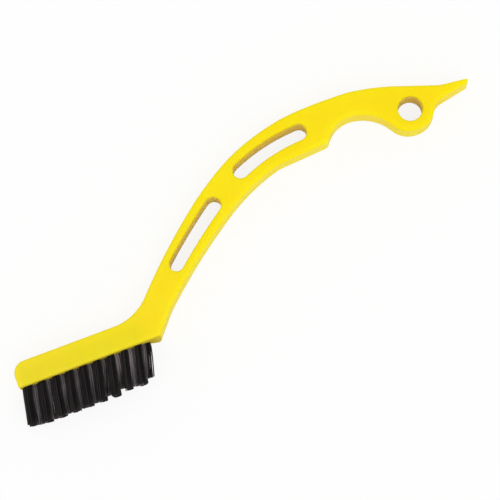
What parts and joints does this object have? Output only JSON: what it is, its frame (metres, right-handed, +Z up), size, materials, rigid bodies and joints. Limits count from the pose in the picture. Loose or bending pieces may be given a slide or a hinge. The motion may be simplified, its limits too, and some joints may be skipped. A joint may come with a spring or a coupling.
{
  "type": "grout brush",
  "caption": "Narrow hand brush for tile joints: curved slotted handle with finger stop, hang hole and pointed tip, and stiff bristle tufts leaning to the toe.",
  "frame": {"origin": "middle of the brush block's side face that the brush lies on, halfway along the block and halfway up it", "axes": "+X along the block's underside from its toe towards the handle, +Y from the bristle tips through the block, +Z up, across the thickness; the brush lies on its side"},
  "size_m": [0.2115, 0.0815, 0.016],
  "materials": {
    "moulding": "moulded yellow polypropylene, satin gloss",
    "bristle": "black nylon filament",
    "anchor_wire": "drawn flat wire"
  },
  "bodies": {
    "root": {"handle": "moulding", "tuft_a1": "bristle", "tuft_a2": "bristle", "tuft_a3": "bristle", "tuft_a4": "bristle", "tuft_a5": "bristle", "tuft_a6": "bristle", "tuft_a7": "bristle", "tuft_a8": "bristle", "tuft_a9": "bristle", "tuft_b1": "bristle", "tuft_b2": "bristle", "tuft_b3": "bristle", "tuft_b4": "bristle", "tuft_b5": "bristle", "tuft_b6": "bristle", "tuft_b7": "bristle", "tuft_b8": "bristle", "tuft_b9": "bristle", "tuft_c1": "bristle", "tuft_c2": "bristle", "tuft_c3": "bristle", "tuft_c4": "bristle", "tuft_c5": "bristle", "tuft_c6": "bristle", "tuft_c7": "bristle", "tuft_c8": "bristle", "tuft_c9": "bristle", "anchor_a1": "anchor_wire", "anchor_a2": "anchor_wire", "anchor_a3": "anchor_wire", "anchor_a4": "anchor_wire", "anchor_a5": "anchor_wire", "anchor_a6": "anchor_wire", "anchor_a7": "anchor_wire", "anchor_a8": "anchor_wire", "anchor_a9": "anchor_wire", "anchor_b1": "anchor_wire", "anchor_b2": "anchor_wire", "anchor_b3": "anchor_wire", "anchor_b4": "anchor_wire", "anchor_b5": "anchor_wire", "anchor_b6": "anchor_wire", "anchor_b7": "anchor_wire", "anchor_b8": "anchor_wire", "anchor_b9": "anchor_wire", "anchor_c1": "anchor_wire", "anchor_c2": "anchor_wire", "anchor_c3": "anchor_wire", "anchor_c4": "anchor_wire", "anchor_c5": "anchor_wire", "anchor_c6": "anchor_wire", "anchor_c7": "anchor_wire", "anchor_c8": "anchor_wire", "anchor_c9": "anchor_wire"}
  },
  "joints": []
}
